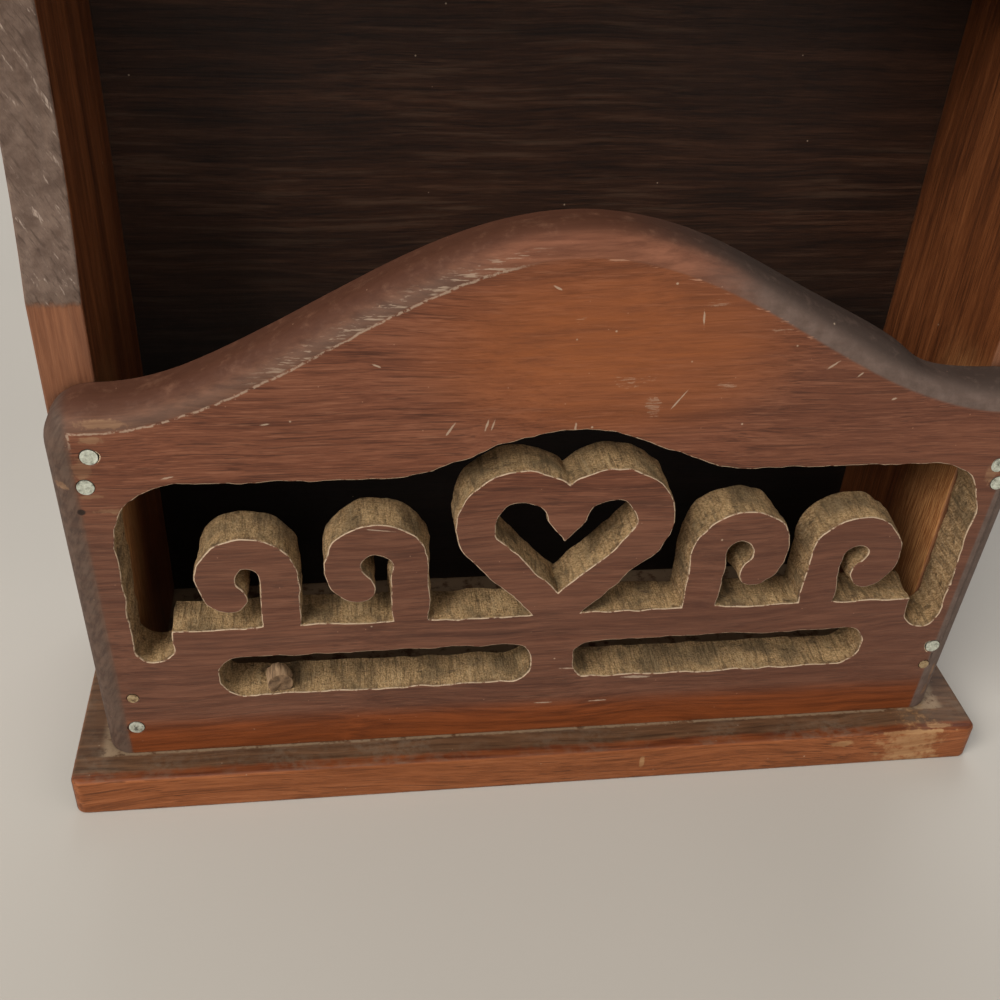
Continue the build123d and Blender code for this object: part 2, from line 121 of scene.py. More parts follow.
# ---------------------------------------------------------------- materials, node by node
class Finish:
    """A procedural material that is put together node by node."""

    APART = Vector((37.0, 53.0, 71.0))  # how far the patterns of two seeds lie apart

    def __init__(self, name, seed):
        self.material = bpy.data.materials.new(name)
        self.material.use_nodes = True
        self.tree = self.material.node_tree
        self.shader = self.tree.nodes["Principled BSDF"]
        place = self.add("ShaderNodeTexCoord").outputs["Object"]
        in_mm = (1 / MM,) * 3
        self.true_space = self.mapped(place, in_mm)
        self.space = self.mapped(place, in_mm, shift=self.APART * seed)
        self.x, self.y, self.z = self.parts(self.true_space)
        facing = self.add("ShaderNodeNewGeometry").outputs["Normal"]
        self.nx, self.ny, self.nz = self.parts(facing)
        self.colour = None
        self.normal = None

    def add(self, kind, **settings):
        """A new node with its settings."""
        node = self.tree.nodes.new(kind)
        for name, value in settings.items():
            setattr(node, name, value)
        return node

    def feed(self, socket, value):
        """Link a socket to another, or give it a plain value; None leaves it as it is."""
        if isinstance(value, bpy.types.NodeSocket):
            self.tree.links.new(value, socket)
        elif isinstance(value, tuple) and socket.type == "RGBA":
            socket.default_value = (*value, 1.0)
        elif value is not None:
            socket.default_value = value

    def set(self, **values):
        """Plain values on the shader's own sockets."""
        for name, value in values.items():
            self.shader.inputs[name.replace("_", " ")].default_value = value

    def calc(self, operation, *values):
        """One step of arithmetic on sockets and numbers."""
        node = self.add("ShaderNodeMath", operation=operation)
        for socket, value in zip(node.inputs, values):
            self.feed(socket, value)
        return node.outputs[0]

    def product(self, first, *others):
        for other in others:
            first = self.calc("MULTIPLY", first, other)
        return first

    def largest(self, first, *others):
        for other in others:
            first = self.calc("MAXIMUM", first, other)
        return first

    def between(self, value, low, high):
        """0 at low and 1 at high, smooth in the middle; low may be above high."""
        node = self.add("ShaderNodeMapRange", interpolation_type="SMOOTHSTEP")
        self.feed(node.inputs["Value"], value)
        node.inputs["From Min"].default_value = min(low, high)
        node.inputs["From Max"].default_value = max(low, high)
        node.inputs["To Min"].default_value = float(low > high)
        node.inputs["To Max"].default_value = float(low < high)
        return node.outputs["Result"]

    def inside(self, value, low, high, soft=0.2):
        """1 from low to high, fading out just beyond each."""
        rises = self.between(value, low - soft, low)
        return self.product(rises, self.between(value, high + soft, high))

    def faces_front(self):
        """1 on what faces the front."""
        return self.between(self.ny, -0.5, -0.8)

    def parts(self, vector):
        node = self.add("ShaderNodeSeparateXYZ")
        self.feed(node.inputs[0], vector)
        return node.outputs[:3]

    def mapped(
        self, vector, scale=(1.0, 1.0, 1.0), turn=(0.0, 0.0, 0.0), shift=(0.0, 0.0, 0.0), kind="POINT"
    ):
        """Scaled, turned and moved pattern space; kind TEXTURE does this to the pattern instead."""
        node = self.add("ShaderNodeMapping", vector_type=kind)
        self.feed(node.inputs["Vector"], vector)
        node.inputs["Location"].default_value = shift
        node.inputs["Rotation"].default_value = turn
        node.inputs["Scale"].default_value = scale
        return node.outputs["Vector"]

    def noise(self, vector, scale, detail=4.0, rough=0.55, distort=0.0, output="Fac"):
        node = self.add("ShaderNodeTexNoise")
        self.feed(node.inputs["Vector"], vector)
        node.inputs["Scale"].default_value = scale
        node.inputs["Detail"].default_value = detail
        node.inputs["Roughness"].default_value = rough
        node.inputs["Distortion"].default_value = distort
        return node.outputs[output]

    def ramp(self, value, *stops):
        """Colour through (place, colour) stops."""
        node = self.add("ShaderNodeValToRGB")
        self.feed(node.inputs[0], value)
        elements = node.color_ramp.elements
        while len(elements) < len(stops):
            elements.new(0.5)
        for element, (place, colour) in zip(elements, stops):
            element.position = place
            element.color = (*colour, 1.0)
        return node.outputs["Color"]

    def mix(self, amount, a, b, kind="MIX"):
        node = self.add("ShaderNodeMix", data_type="RGBA", blend_type=kind)
        colours = [socket for socket in node.inputs if socket.type == "RGBA"]
        self.feed(node.inputs["Factor"], amount)
        self.feed(colours[0], a)
        self.feed(colours[1], b)
        return next(socket for socket in node.outputs if socket.type == "RGBA")

    def tint(self, amount, colour):
        """Lay a colour over what is there, by an amount from 0 to 1."""
        self.colour = self.mix(amount, self.colour, colour)

    def wear(self, radius):
        """1 on outside edges, fading to 0 one radius away."""
        soft = self.add("ShaderNodeBevel", samples=4)
        soft.inputs["Radius"].default_value = radius
        hard = self.add("ShaderNodeNewGeometry")
        dot = self.add("ShaderNodeVectorMath", operation="DOT_PRODUCT")
        self.feed(dot.inputs[0], soft.outputs["Normal"])
        self.feed(dot.inputs[1], hard.outputs["Normal"])
        return self.between(dot.outputs["Value"], 0.98, 0.75)

    def crevice(self, reach):
        """1 in corners, where grime gathers and shade falls; 0 on open faces."""
        node = self.add("ShaderNodeAmbientOcclusion", samples=4)
        node.inputs["Distance"].default_value = reach
        return self.between(node.outputs["AO"], 0.9, 0.4)

    def relief(self, height, strength, depth):
        """Bump, over whatever relief is there already."""
        node = self.add("ShaderNodeBump")
        node.inputs["Strength"].default_value = strength
        node.inputs["Distance"].default_value = depth
        self.feed(node.inputs["Height"], height)
        self.feed(node.inputs["Normal"], self.normal)
        self.normal = node.outputs["Normal"]

    def mark(self, middle, halves, angle=0.0, ragged=0.0, rough=None, across="y"):
        """1 inside a small ellipse on a face, 0 outside; halves are its half length and width.

        Its edge is torn by the rough pattern, and it lies square to the across axis.
        """
        place = {"y": (middle[0], 0.0, middle[1]), "z": (middle[0], middle[1], 0.0)}[across]
        far = 1000.0
        scale = {"y": (halves[0], far, halves[1]), "z": (halves[0], halves[1], far)}[across]
        turn = {"y": (0.0, -angle, 0.0), "z": (0.0, 0.0, angle)}[across]
        local = self.mapped(self.true_space, scale, turn, place, "TEXTURE")
        length = self.add("ShaderNodeVectorMath", operation="LENGTH")
        self.feed(length.inputs[0], local)
        away = length.outputs["Value"]
        if ragged:
            smaller = self.calc("SUBTRACT", away, ragged / 2)
            away = self.calc("MULTIPLY_ADD", rough, ragged, smaller)
        return self.between(away, 1.0, 0.55)

    def line(self, start, finish, width, rough):
        """A thin broken scratch from start to finish."""
        run = (finish[0] - start[0], finish[1] - start[1])
        middle = ((start[0] + finish[0]) / 2, (start[1] + finish[1]) / 2)
        return self.mark(middle, (hypot(*run) / 2, width / 2), atan2(run[1], run[0]), 1.5, rough)

    def done(self, roughness):
        """Join the colour, the roughness and the relief to the shader."""
        self.feed(self.shader.inputs["Base Color"], self.colour)
        self.feed(self.shader.inputs["Roughness"], roughness)
        self.feed(self.shader.inputs["Normal"], self.normal)
        return self.material


class Wood(Finish):
    """A finish with the figure of a board whose grain runs along one axis."""

    SLOW = {"figure": 0.045, "pores": 0.014}  # how slowly each changes along the grain

    def __init__(self, name, seed, along, waviness=16.0):
        super().__init__(name, seed)
        self.along = "xyz".index(along)
        drift = self.noise(self.space, 0.011, 2.0, output="Color")
        bent = self.add("ShaderNodeVectorMath", operation="MULTIPLY_ADD")
        self.feed(bent.inputs[0], drift)
        bent.inputs[1].default_value = (waviness,) * 3
        self.feed(bent.inputs[2], self.space)
        grain = self.mapped(bent.outputs[0], self.stretch("figure"))
        self.bands = self.noise(grain, 0.16, 3.0, 0.5, 0.6)
        self.streaks = self.noise(grain, 0.75, 5.0, 0.62)
        self.fibre = self.noise(grain, 3.2, 4.0, 0.7)
        self.pores = self.noise(self.mapped(bent.outputs[0], self.stretch("pores")), 2.1, 2.0, 0.5)
        self.blotch = self.noise(self.space, 0.018, 3.0, 0.5)
        self.fleck = self.noise(self.space, 0.35, 5.0, 0.65)

    def stretch(self, kind):
        """Scale that draws a pattern out along the grain."""
        scale = [1.0, 1.0, 1.0]
        scale[self.along] = self.SLOW[kind]
        return tuple(scale)

    def stain(self, dark, middle, light, blotches=0.9):
        """Stained wood colour, dark in the pores and uneven over the board."""
        figure = self.calc("MULTIPLY", self.bands, 0.3)
        figure = self.calc("MULTIPLY_ADD", self.streaks, 0.36, figure)
        figure = self.calc("MULTIPLY_ADD", self.fibre, 0.34, figure)
        self.colour = self.ramp(figure, (0.39, dark), (0.5, middle), (0.61, light))
        lines = self.product(self.between(self.pores, 0.57, 0.66), 0.5)
        self.tint(lines, tuple(0.35 * c for c in dark))
        shade = self.calc("MULTIPLY_ADD", self.blotch, blotches, 1.0 - blotches / 2)
        grey = self.add("ShaderNodeCombineColor")
        for socket in grey.inputs[:3]:
            self.feed(socket, shade)
        self.colour = self.mix(1.0, self.colour, grey.outputs["Color"], "MULTIPLY")

    def end_grain(self, dark, light):
        """Darker, ringed end grain on the faces that cut across the grain."""
        turned = self.calc("ABSOLUTE", (self.nx, self.ny, self.nz)[self.along])
        rings = self.noise(self.mapped(self.space, (0.5, 0.5, 0.5)), 1.6, 5.0, 0.7)
        tone = self.ramp(rings, (0.35, tuple(0.45 * c for c in dark)), (0.6, dark), (0.75, light))
        self.tint(self.between(turned, 0.72, 0.9), tone)

    def specks(self, colour, share=0.5, size=0.3, dense=0.15, amount=0.7):
        """Tiny pale chips and lint, so many to the millimetre."""
        node = self.add("ShaderNodeTexVoronoi")
        self.feed(node.inputs["Vector"], self.mapped(self.space, turn=(0.3, 0.2, 0.4)))
        node.inputs["Scale"].default_value = dense
        near = self.between(node.outputs["Distance"], size * dense, size * dense / 3)
        chosen = self.between(self.parts(node.outputs["Color"])[0], 1.0 - share, 1.02 - share)
        self.tint(self.product(near, chosen, amount), colour)

    def grain_relief(self, strength=0.25):
        """Bump of the pores, the fibre and a slight unevenness."""
        height = self.calc("MULTIPLY_ADD", self.pores, -0.8, self.fibre)
        self.relief(height, strength, 0.25 * MM)
        self.relief(self.fleck, 0.1, 0.7 * MM)

    def streaked(self, dark, light):
        """Colour that runs from dark to light with the streaks of the grain."""
        return self.ramp(self.streaks, (0.35, dark), (0.65, light))

    def rubbed(self, amount, colour):
        """Patchy pale wear on outside edges."""
        patchy = self.product(self.wear(RUB_RADIUS), self.between(self.fleck, 0.42, 0.6), amount)
        self.tint(patchy, colour)

    def grime_and_shade(self, amount):
        """Dark grime and painted shade in the corners."""
        patchy = self.product(self.crevice(GRIME_SHADE_REACH), self.between(self.fleck, 0.3, 0.6), amount)
        self.tint(patchy, GRIME_SHADE_COLOUR)

    def sheen(self, low, high):
        """Roughness that wanders between two values."""
        return self.calc("MULTIPLY_ADD", self.fleck, high - low, low)


def board_finish(name, seed, along, tones, gloss=(0.4, 0.6), wear=0.4, grime_shade=0.5, worn=WORN):
    """Stained and thinly varnished board."""
    f = Wood(name, seed, along)
    f.stain(*tones)
    f.end_grain(tones[0], tones[1])
    f.rubbed(wear, worn)
    f.grime_and_shade(grime_shade)
    f.specks(PALE_CHIP, 0.3)
    f.grain_relief()
    f.set(Specular_IOR_Level=0.3)
    return f.done(f.sheen(*gloss))


# ---------------------------------------------------------------- front panel finish
TABLE_REFLECTION_FADE = (88.0, 66.0)  # heights over which the painted reflection of the pale table comes in
# heights over which the painted reflection of the base comes in
BASE_REFLECTION_FADE = (21.5, 16.5)
# middle and halves of the painted highlight at the crest
HIGHLIGHT_MIDDLE = (6.0, 111.0)
HIGHLIGHT_HALVES = (44.0, 24.0)
STAIN_CREEP = (1.6, 0.2)  # behind the face, where the stain fades out on the sawn walls

# Scratches are start, finish and width; scuffs and patches are middle and halves.
SCRATCHES = (
    ((18.8, 97.2), (22.3, 102.4), 0.4),
    ((-24.8, 92.6), (-23.0, 95.6), 0.55),
    ((-17.3, 93.2), (-16.4, 96.8), 0.5),
    ((-16.0, 93.6), (-15.3, 96.2), 0.4),
    ((49.2, 105.9), (51.6, 107.8), 0.6),
    ((55.6, 103.8), (57.0, 105.2), 0.5),
    ((2.2, 29.6), (10.5, 29.2), 0.5),
    ((16.0, 25.9), (25.5, 25.5), 0.9),
    ((30.0, 27.8), (34.5, 26.2), 0.45),
    ((-3.0, 19.0), (2.5, 18.9), 0.45),
    ((10.0, 18.6), (15.0, 18.7), 0.45),
    ((-44.0, 27.5), (-43.0, 25.6), 0.4),
    ((-41.0, 71.0), (-34.0, 70.0), 0.35),
    ((22.5, 119.0), (23.0, 115.0), 0.5),
    ((-86.5, 61.5), (-82.0, 61.2), 0.5),
    ((64.0, 98.6), (65.6, 99.2), 0.7),
    ((-38.6, 108.6), (-36.8, 107.8), 0.5),
    ((-6.2, 124.0), (-4.4, 123.0), 0.5),
    ((0.5, 92.4), (0.6, 95.0), 0.6),
    ((-60.0, 96.0), (-57.5, 96.4), 0.4),
    ((-79.0, 84.5), (-76.0, 85.2), 0.5),
)
SCUFFS = (
    ((9.5, 104.0), (2.4, 1.8)),
    ((13.5, 104.4), (1.6, 0.9)),
    ((15.5, 98.5), (2.0, 2.8)),
    ((29.5, 102.6), (2.2, 0.8)),
    ((24.5, 120.3), (2.6, 0.8)),
    ((38.5, 114.4), (2.2, 0.5)),
    ((-0.5, 117.0), (1.2, 0.8)),
)
FILLED_HOLE = (-94.5, 77.4)
BARE_PATCHES = (
    ((-88.0, 96.8), (5.5, 1.1)),
    ((-90.5, 93.6), (2.6, 0.9)),
    ((-93.0, 87.0), (2.4, 3.0)),
    ((-97.5, 83.2), (1.8, 1.0)),
    ((-91.8, 81.0), (2.6, 0.7)),
    ((-86.5, 77.4), (6.5, 0.7)),
    ((91.5, 80.0), (1.6, 3.0)),
    ((95.0, 21.5), (0.7, 3.6)),
    ((94.6, 15.6), (0.8, 2.0)),
)


def inset_from_outline(f):
    """How far a point lies inside the panel's curved top and leaning ends."""
    away = f.calc("MINIMUM", f.calc("DIVIDE", f.calc("ABSOLUTE", f.x), BELL_HALF), 1.0)
    turn = f.calc("MULTIPLY", away, pi)
    swell = f.calc("MULTIPLY_ADD", f.calc("COSINE", turn), 0.5, 0.5)
    top = f.calc("MULTIPLY_ADD", f.calc("POWER", swell, BELL_FULLNESS), BELL_RISE, SHOULDER)
    slope = f.calc("MULTIPLY", f.calc("SINE", turn), BELL_RISE * pi / 2 / BELL_HALF)
    slant = f.calc("SQRT", f.calc("MULTIPLY_ADD", slope, slope, 1.0))
    below = f.calc("DIVIDE", f.calc("SUBTRACT", top, f.z), slant)
    up = f.calc("DIVIDE", f.calc("SUBTRACT", f.z, PANEL_FOOT), SHOULDER - PANEL_FOOT)
    left_end = f.calc("MULTIPLY_ADD", up, LEAN_LEFT, PANEL_HALF - LEAN_LEFT)
    right_end = f.calc("MULTIPLY_ADD", up, LEAN_RIGHT, PANEL_HALF - LEAN_RIGHT)
    aside = f.calc("MINIMUM", f.calc("ADD", left_end, f.x), f.calc("SUBTRACT", right_end, f.x))
    return below, aside


def squared_share(f, value, middle, half):
    """Square of how many halves a value lies from a middle."""
    return f.calc("POWER", f.calc("DIVIDE", f.calc("SUBTRACT", value, middle), half), 2.0)


def face_stain(f):
    """Red-brown face, with a painted orange highlight at the crest, a painted purplish reflection of
    the pale table low down and a painted deep red reflection of the base at the foot.
    """
    f.stain(*FACE_TONES, blotches=0.5)
    fine = f.noise(f.mapped(f.space, (0.05, 1.0, 1.0)), 2.6, 3.0, 0.6)
    f.tint(f.product(f.between(fine, 0.55, 0.68), 0.45), (0.3, 0.125, 0.068))
    f.tint(f.product(f.between(fine, 0.45, 0.33), 0.4), (0.06, 0.02, 0.011))
    # painted reflection: the pale table's grey sheen on the face's lower part
    table_reflection = f.streaked((0.07, 0.031, 0.02), (0.135, 0.066, 0.042))
    f.tint(f.product(f.between(f.z, *TABLE_REFLECTION_FADE), 0.5), table_reflection)
    f.tint(f.product(f.between(f.x, 0.0, 80.0), 0.35), (0.1, 0.034, 0.018))
    # painted highlight: orange gloss at the crest, laid into the face's colour
    out = squared_share(f, f.x, HIGHLIGHT_MIDDLE[0], HIGHLIGHT_HALVES[0])
    up = squared_share(f, f.z, HIGHLIGHT_MIDDLE[1], HIGHLIGHT_HALVES[1])
    glow = f.between(f.calc("ADD", out, up), 1.0, 0.0)
    glow = f.product(glow, f.calc("MULTIPLY_ADD", f.streaks, 1.3, 0.1), 0.85)
    f.tint(glow, (0.285, 0.083, 0.022))
    # painted reflection of the dark base board, deep red along the face's foot
    red = f.streaked((0.11, 0.026, 0.006), (0.24, 0.057, 0.012))
    f.tint(f.product(f.between(f.z, *BASE_REFLECTION_FADE), 0.85), red)


def rounded_edge(f):
    """The rubbed round edge: brown, and grey with dusty film and painted sheen, with painted shade
    along its rim and at its left end, and a pale broken line where the face begins.

    Returns where the edge is.
    """
    below, aside = inset_from_outline(f)
    inset = f.calc("MINIMUM", below, aside)
    right = f.between(f.x, 2.0, 34.0)
    band = f.between(inset, ROUND + 0.1, ROUND - 0.6)
    brown = f.streaked((0.082, 0.035, 0.019), (0.165, 0.074, 0.041))
    # grey dusty film and painted sheen on the edge's right half
    dust_and_sheen = f.ramp(f.fleck, (0.35, (0.098, 0.07, 0.056)), (0.65, (0.146, 0.106, 0.087)))
    f.tint(f.product(band, 0.88), f.mix(right, brown, dust_and_sheen))
    # grey dusty film and painted sheen near the line on the left
    dusty_sheen = f.product(f.between(inset, 1.6, 4.0), band, f.between(f.x, -12.0, -26.0))
    f.tint(f.product(dusty_sheen, f.between(f.blotch, 0.3, 0.6), 0.45), (0.125, 0.08, 0.06))
    # painted shade at the left end, streaked on the slant
    end = f.product(f.between(aside, 6.0, 4.0), f.between(f.x, 0.0, -10.0))
    slant = f.mapped(f.space, (1.0, 1.0, 6.0), (0.0, 0.5, 0.0), kind="TEXTURE")
    shaded_streaks = f.noise(slant, 0.9, 4.0, 0.6)
    shaded_streaks = f.ramp(shaded_streaks, (0.4, (0.05, 0.034, 0.026)), (0.6, (0.1, 0.068, 0.05)))
    f.tint(f.product(end, 0.75), shaded_streaks)
    # painted shade along the crest's rear rim
    rim = f.product(f.between(inset, 3.4, 0.6), f.between(below, 6.0, 3.0))
    edge = f.mix(right, (0.066, 0.02, 0.008), (0.036, 0.022, 0.016))
    f.tint(f.product(rim, f.between(f.fleck, 0.2, 0.5), 0.85), edge)
    middle = f.between(f.calc("ABSOLUTE", f.calc("SUBTRACT", f.x, 4.0)), 34.0, 12.0)
    flush = f.streaked((0.15, 0.05, 0.024), (0.27, 0.1, 0.052))
    f.tint(f.product(middle, band, f.between(inset, 0.2, 2.4), 0.75), flush)

    wander = f.calc("MULTIPLY_ADD", f.fleck, 1.2, f.calc("SUBTRACT", inset, ROUND + 0.6))
    off = f.calc("ABSOLUTE", wander)
    broken = f.between(f.noise(f.space, 0.8, 4.0, 0.65), 0.42, 0.52)
    left = f.between(f.x, -8.0, -16.0)
    line = f.product(f.between(off, 0.34, 0.1), broken, left, f.between(f.z, 90.0, 95.0))
    hairs = f.noise(f.mapped(f.space, (0.075, 1.0, 1.0)), 2.2, 3.0, 0.6)
    torn = f.product(f.between(hairs, 0.56, 0.64), f.between(inset, 1.8, 4.6), band)
    torn = f.product(torn, f.between(f.x, -4.0, -12.0), f.between(f.x, -66.0, -50.0))
    f.tint(f.product(f.largest(line, torn), 0.64), (0.42, 0.31, 0.22))
    chipped = f.product(f.between(off, 0.5, 0.15), f.between(hairs, 0.56, 0.64))
    chipped = f.product(chipped, f.between(f.x, -4.0, 4.0), f.between(f.x, 62.0, 45.0))
    f.tint(f.product(chipped, 0.8), (0.4, 0.2, 0.12))
    return band


def sawn_wood(f, sawn):
    """Fuzzy golden fibre on the sawn walls, olive where it looks up and scorched in places.

    Returns the height of the fuzz and the saw's marks.
    """
    fuzz = f.noise(f.mapped(f.space, (1.0, 1.0, 2.6), (0.7, 0.2, 0.0), kind="TEXTURE"), 2.4, 6.0, 0.75)
    places = (0.32, 0.47, 0.64)
    bare = f.ramp(fuzz, *zip(places, SAWN_TONES))
    olive = f.ramp(fuzz, *zip(places, OLIVE_TONES))
    bare = f.mix(f.product(f.between(f.nz, 0.2, 0.75), 0.8), bare, olive)
    saw_marks = f.noise(f.mapped(f.space, (1.0, 0.1, 1.0)), 0.9, 4.0, 0.65)
    bare = f.mix(f.product(f.between(saw_marks, 0.5, 0.36), 0.5), bare, (0.1, 0.062, 0.03))
    bare = f.mix(f.product(f.between(saw_marks, 0.54, 0.68), 0.45), bare, (0.72, 0.52, 0.29))
    shade = f.between(f.noise(f.space, 0.12, 3.0, 0.6), 0.45, 0.66)
    bare = f.mix(f.product(shade, 0.6), bare, (0.11, 0.078, 0.04))
    scorch = f.noise(f.mapped(f.space, (0.5, 1.0, 0.5)), 0.5, 5.0, 0.7)
    bare = f.mix(f.product(f.between(scorch, 0.58, 0.68), 0.6), bare, (0.05, 0.03, 0.016))
    stained = f.between(f.y, FACE_Y + STAIN_CREEP[0], FACE_Y + STAIN_CREEP[1])
    bare = f.mix(f.product(stained, f.between(f.fleck, 0.46, 0.58), 0.5), bare, (0.13, 0.052, 0.024))
    f.tint(sawn, bare)
    return f.calc("MULTIPLY_ADD", saw_marks, 1.2, fuzz)


def front_finish():
    """Varnished face, rubbed round edge and bare sawn walls."""
    f = Wood("front_panel_stain", 1.0, "x")
    face_stain(f)
    band = rounded_edge(f)
    rough = f.noise(f.space, 0.8, 4.0, 0.65)
    bare = f.streaked((0.15, 0.065, 0.032), (0.33, 0.19, 0.1))
    for middle, halves in BARE_PATCHES:
        f.tint(f.product(f.mark(middle, halves, ragged=1.9, rough=rough), 0.55), bare)
    f.tint(f.mark(FILLED_HOLE, (1.0, 0.9)), (0.02, 0.01, 0.006))
    face = f.faces_front()
    scratches = f.largest(*(f.line(*scratch, rough) for scratch in SCRATCHES))
    scuffs = f.largest(*(f.mark(*scuff, ragged=2.4, rough=rough) for scuff in SCUFFS))
    marks = f.largest(scratches, f.product(scuffs, f.between(f.fibre, 0.5, 0.58), 0.55))
    f.tint(f.product(marks, face, 0.6), PALE_CHIP)
    f.specks(PALE_CHIP, 0.55, 0.34)
    f.specks((0.4, 0.22, 0.14), 0.5, 0.2, 0.35, 0.5)

    fretted = f.product(f.inside(f.x, FRET_LEFT, FRET_RIGHT), f.inside(f.z, FRET_FOOT, FRET_TOP))
    turned = f.calc("ABSOLUTE", f.ny)
    sawn = f.product(fretted, f.between(turned, 0.8, 0.55))
    fuzz = sawn_wood(f, sawn)
    arris = f.product(f.between(turned, 0.99, 0.93), f.between(turned, 0.2, 0.4), fretted)
    near_face = f.between(f.y, FACE_Y + 0.9, FACE_Y + 0.5)
    arris = f.product(arris, near_face, f.between(rough, 0.36, 0.5))
    f.tint(f.product(arris, 0.85), f.mix(f.fleck, (0.42, 0.3, 0.19), (0.72, 0.55, 0.38)))

    f.grain_relief(0.2)
    f.relief(f.product(fuzz, sawn), 1.0, 1.1 * MM)
    f.set(Specular_IOR_Level=0.3)
    dull = f.largest(sawn, f.product(band, 0.85), marks)
    return f.done(f.calc("MULTIPLY_ADD", dull, 0.42, f.sheen(0.3, 0.52)))


# ---------------------------------------------------------------- finishes of the other boards
BASE_RED = (5.6, 7.0)  # ahead of the front panel, where the base's top turns red
BASE_PATCHES = (  # bare spots of the base: middle, halves and the axis that they face
    ((90.0, -37.4), (11.0, 0.6), "z"),
    ((97.0, -36.2), (4.0, 0.9), "z"),
    ((92.0, 9.6), (9.0, 0.45), "y"),
    ((72.5, 7.4), (4.0, 1.2), "y"),
    ((23.0, 5.5), (0.7, 2.6), "y"),
)
LIT_DEPTH = (4.0, -16.0)  # fades of the painted light on the side boards' inner faces, near their front edges
LIT_HEIGHT = (104.0, 84.0)
BACK_SHADE = (118.0, 70.0)  # heights over which painted shade darkens the back into the pocket


def base_finish():
    """Dark dusty top with a red line behind its worn front edge, bare at one corner."""
    f = Wood("base_board_stain", 2.0, "x")
    f.stain(*BASE_TONES, blotches=0.5)
    f.end_grain((0.07, 0.028, 0.014), (0.15, 0.06, 0.03))
    top = f.between(f.nz, 0.6, 0.85)
    red = f.streaked((0.08, 0.018, 0.006), (0.2, 0.055, 0.016))
    dark = f.streaked((0.05, 0.027, 0.014), (0.13, 0.07, 0.036))
    before = f.calc("SUBTRACT", FACE_Y, f.y)
    near_edge = f.between(f.calc("MULTIPLY_ADD", f.fleck, 2.0, before), *BASE_RED)
    f.tint(f.product(top, 0.9), f.mix(near_edge, dark, red))
    rough = f.noise(f.space, 0.5, 5.0, 0.65)
    dusty = f.product(top, f.between(f.noise(f.space, 0.05, 4.0, 0.6), 0.42, 0.62))
    f.tint(f.product(dusty, f.between(rough, 0.35, 0.65), 0.45), (0.17, 0.125, 0.085))
    under_panel = f.between(f.calc("ABSOLUTE", f.x), PANEL_HALF + 1.5, PANEL_HALF - 1.0)
    joint = f.between(f.calc("MULTIPLY_ADD", rough, 1.2, before), 1.5, 0.9)
    joint = f.product(joint, under_panel, top, f.between(f.fleck, 0.35, 0.5), 0.8)
    f.tint(joint, (0.3, 0.21, 0.13))
    bare = f.streaked((0.3, 0.15, 0.06), (0.5, 0.3, 0.14))
    for middle, halves, across in BASE_PATCHES:
        patch = f.mark(middle, halves, ragged=1.6, rough=rough, across=across)
        f.tint(f.product(patch, 0.65), bare)
    f.rubbed(0.4, (0.4, 0.22, 0.1))
    f.grime_and_shade(0.4)
    f.specks(PALE_CHIP, 0.5)
    f.specks((0.34, 0.25, 0.17), 0.5, 0.22, 0.35, 0.5)
    f.grain_relief()
    f.set(Specular_IOR_Level=0.25)
    return f.done(f.sheen(0.42, 0.64))


def side_finish(name, seed):
    """Red-brown upright grain; the scooped front edge is grey with steep pale scratches."""
    f = Wood(name, seed, "z", 6.0)
    f.stain(*SIDE_TONES, blotches=0.6)
    f.end_grain((0.06, 0.02, 0.009), (0.12, 0.042, 0.02))
    inner = f.between(f.calc("ABSOLUTE", f.x), INNER_HALF + 1.5, INNER_HALF + 0.5)
    # painted light: warm orange where light falls inside the side boards near the front
    lit_front = f.product(inner, f.between(f.y, *LIT_DEPTH), f.between(f.z, *LIT_HEIGHT))
    pale = f.ramp(f.fibre, (0.4, (0.3, 0.1, 0.028)), (0.6, (0.68, 0.34, 0.13)))
    f.tint(f.product(lit_front, 0.8), pale)
    front = f.faces_front()
    f.tint(f.product(front, 0.7), f.streaked((0.13, 0.046, 0.022), (0.27, 0.115, 0.058)))
    climb = f.calc("MULTIPLY_ADD", f.fleck, 2.0, f.z)
    scooped = f.between(climb, SCOOP_FOOT, SCOOP_FOOT + 1.4)
    scooped = f.product(scooped, f.between(f.z, SCOOP_TOP + 1.5, SCOOP_TOP), front)
    slant = f.mapped(f.space, (1.0, 1.0, 9.0), (0.0, -0.5, 0.0), kind="TEXTURE")
    torn = f.noise(slant, 1.4, 4.0, 0.6)
    grey = f.ramp(f.fleck, (0.36, (0.095, 0.062, 0.046)), (0.64, (0.17, 0.118, 0.09)))
    grey = f.mix(f.product(f.between(torn, 0.44, 0.34), 0.6), grey, (0.05, 0.032, 0.023))
    strands = f.product(f.between(torn, 0.6, 0.68), f.between(f.fibre, 0.4, 0.55), 0.8)
    grey = f.mix(strands, grey, (0.42, 0.33, 0.27))
    f.tint(f.product(scooped, 0.94), grey)
    f.rubbed(0.45, (0.34, 0.22, 0.13))
    f.grime_and_shade(0.5)
    f.specks(PALE_CHIP, 0.3)
    f.grain_relief()
    f.relief(f.product(torn, scooped), 0.5, 0.7 * MM)
    f.set(Specular_IOR_Level=0.3)
    return f.done(f.sheen(0.42, 0.62))


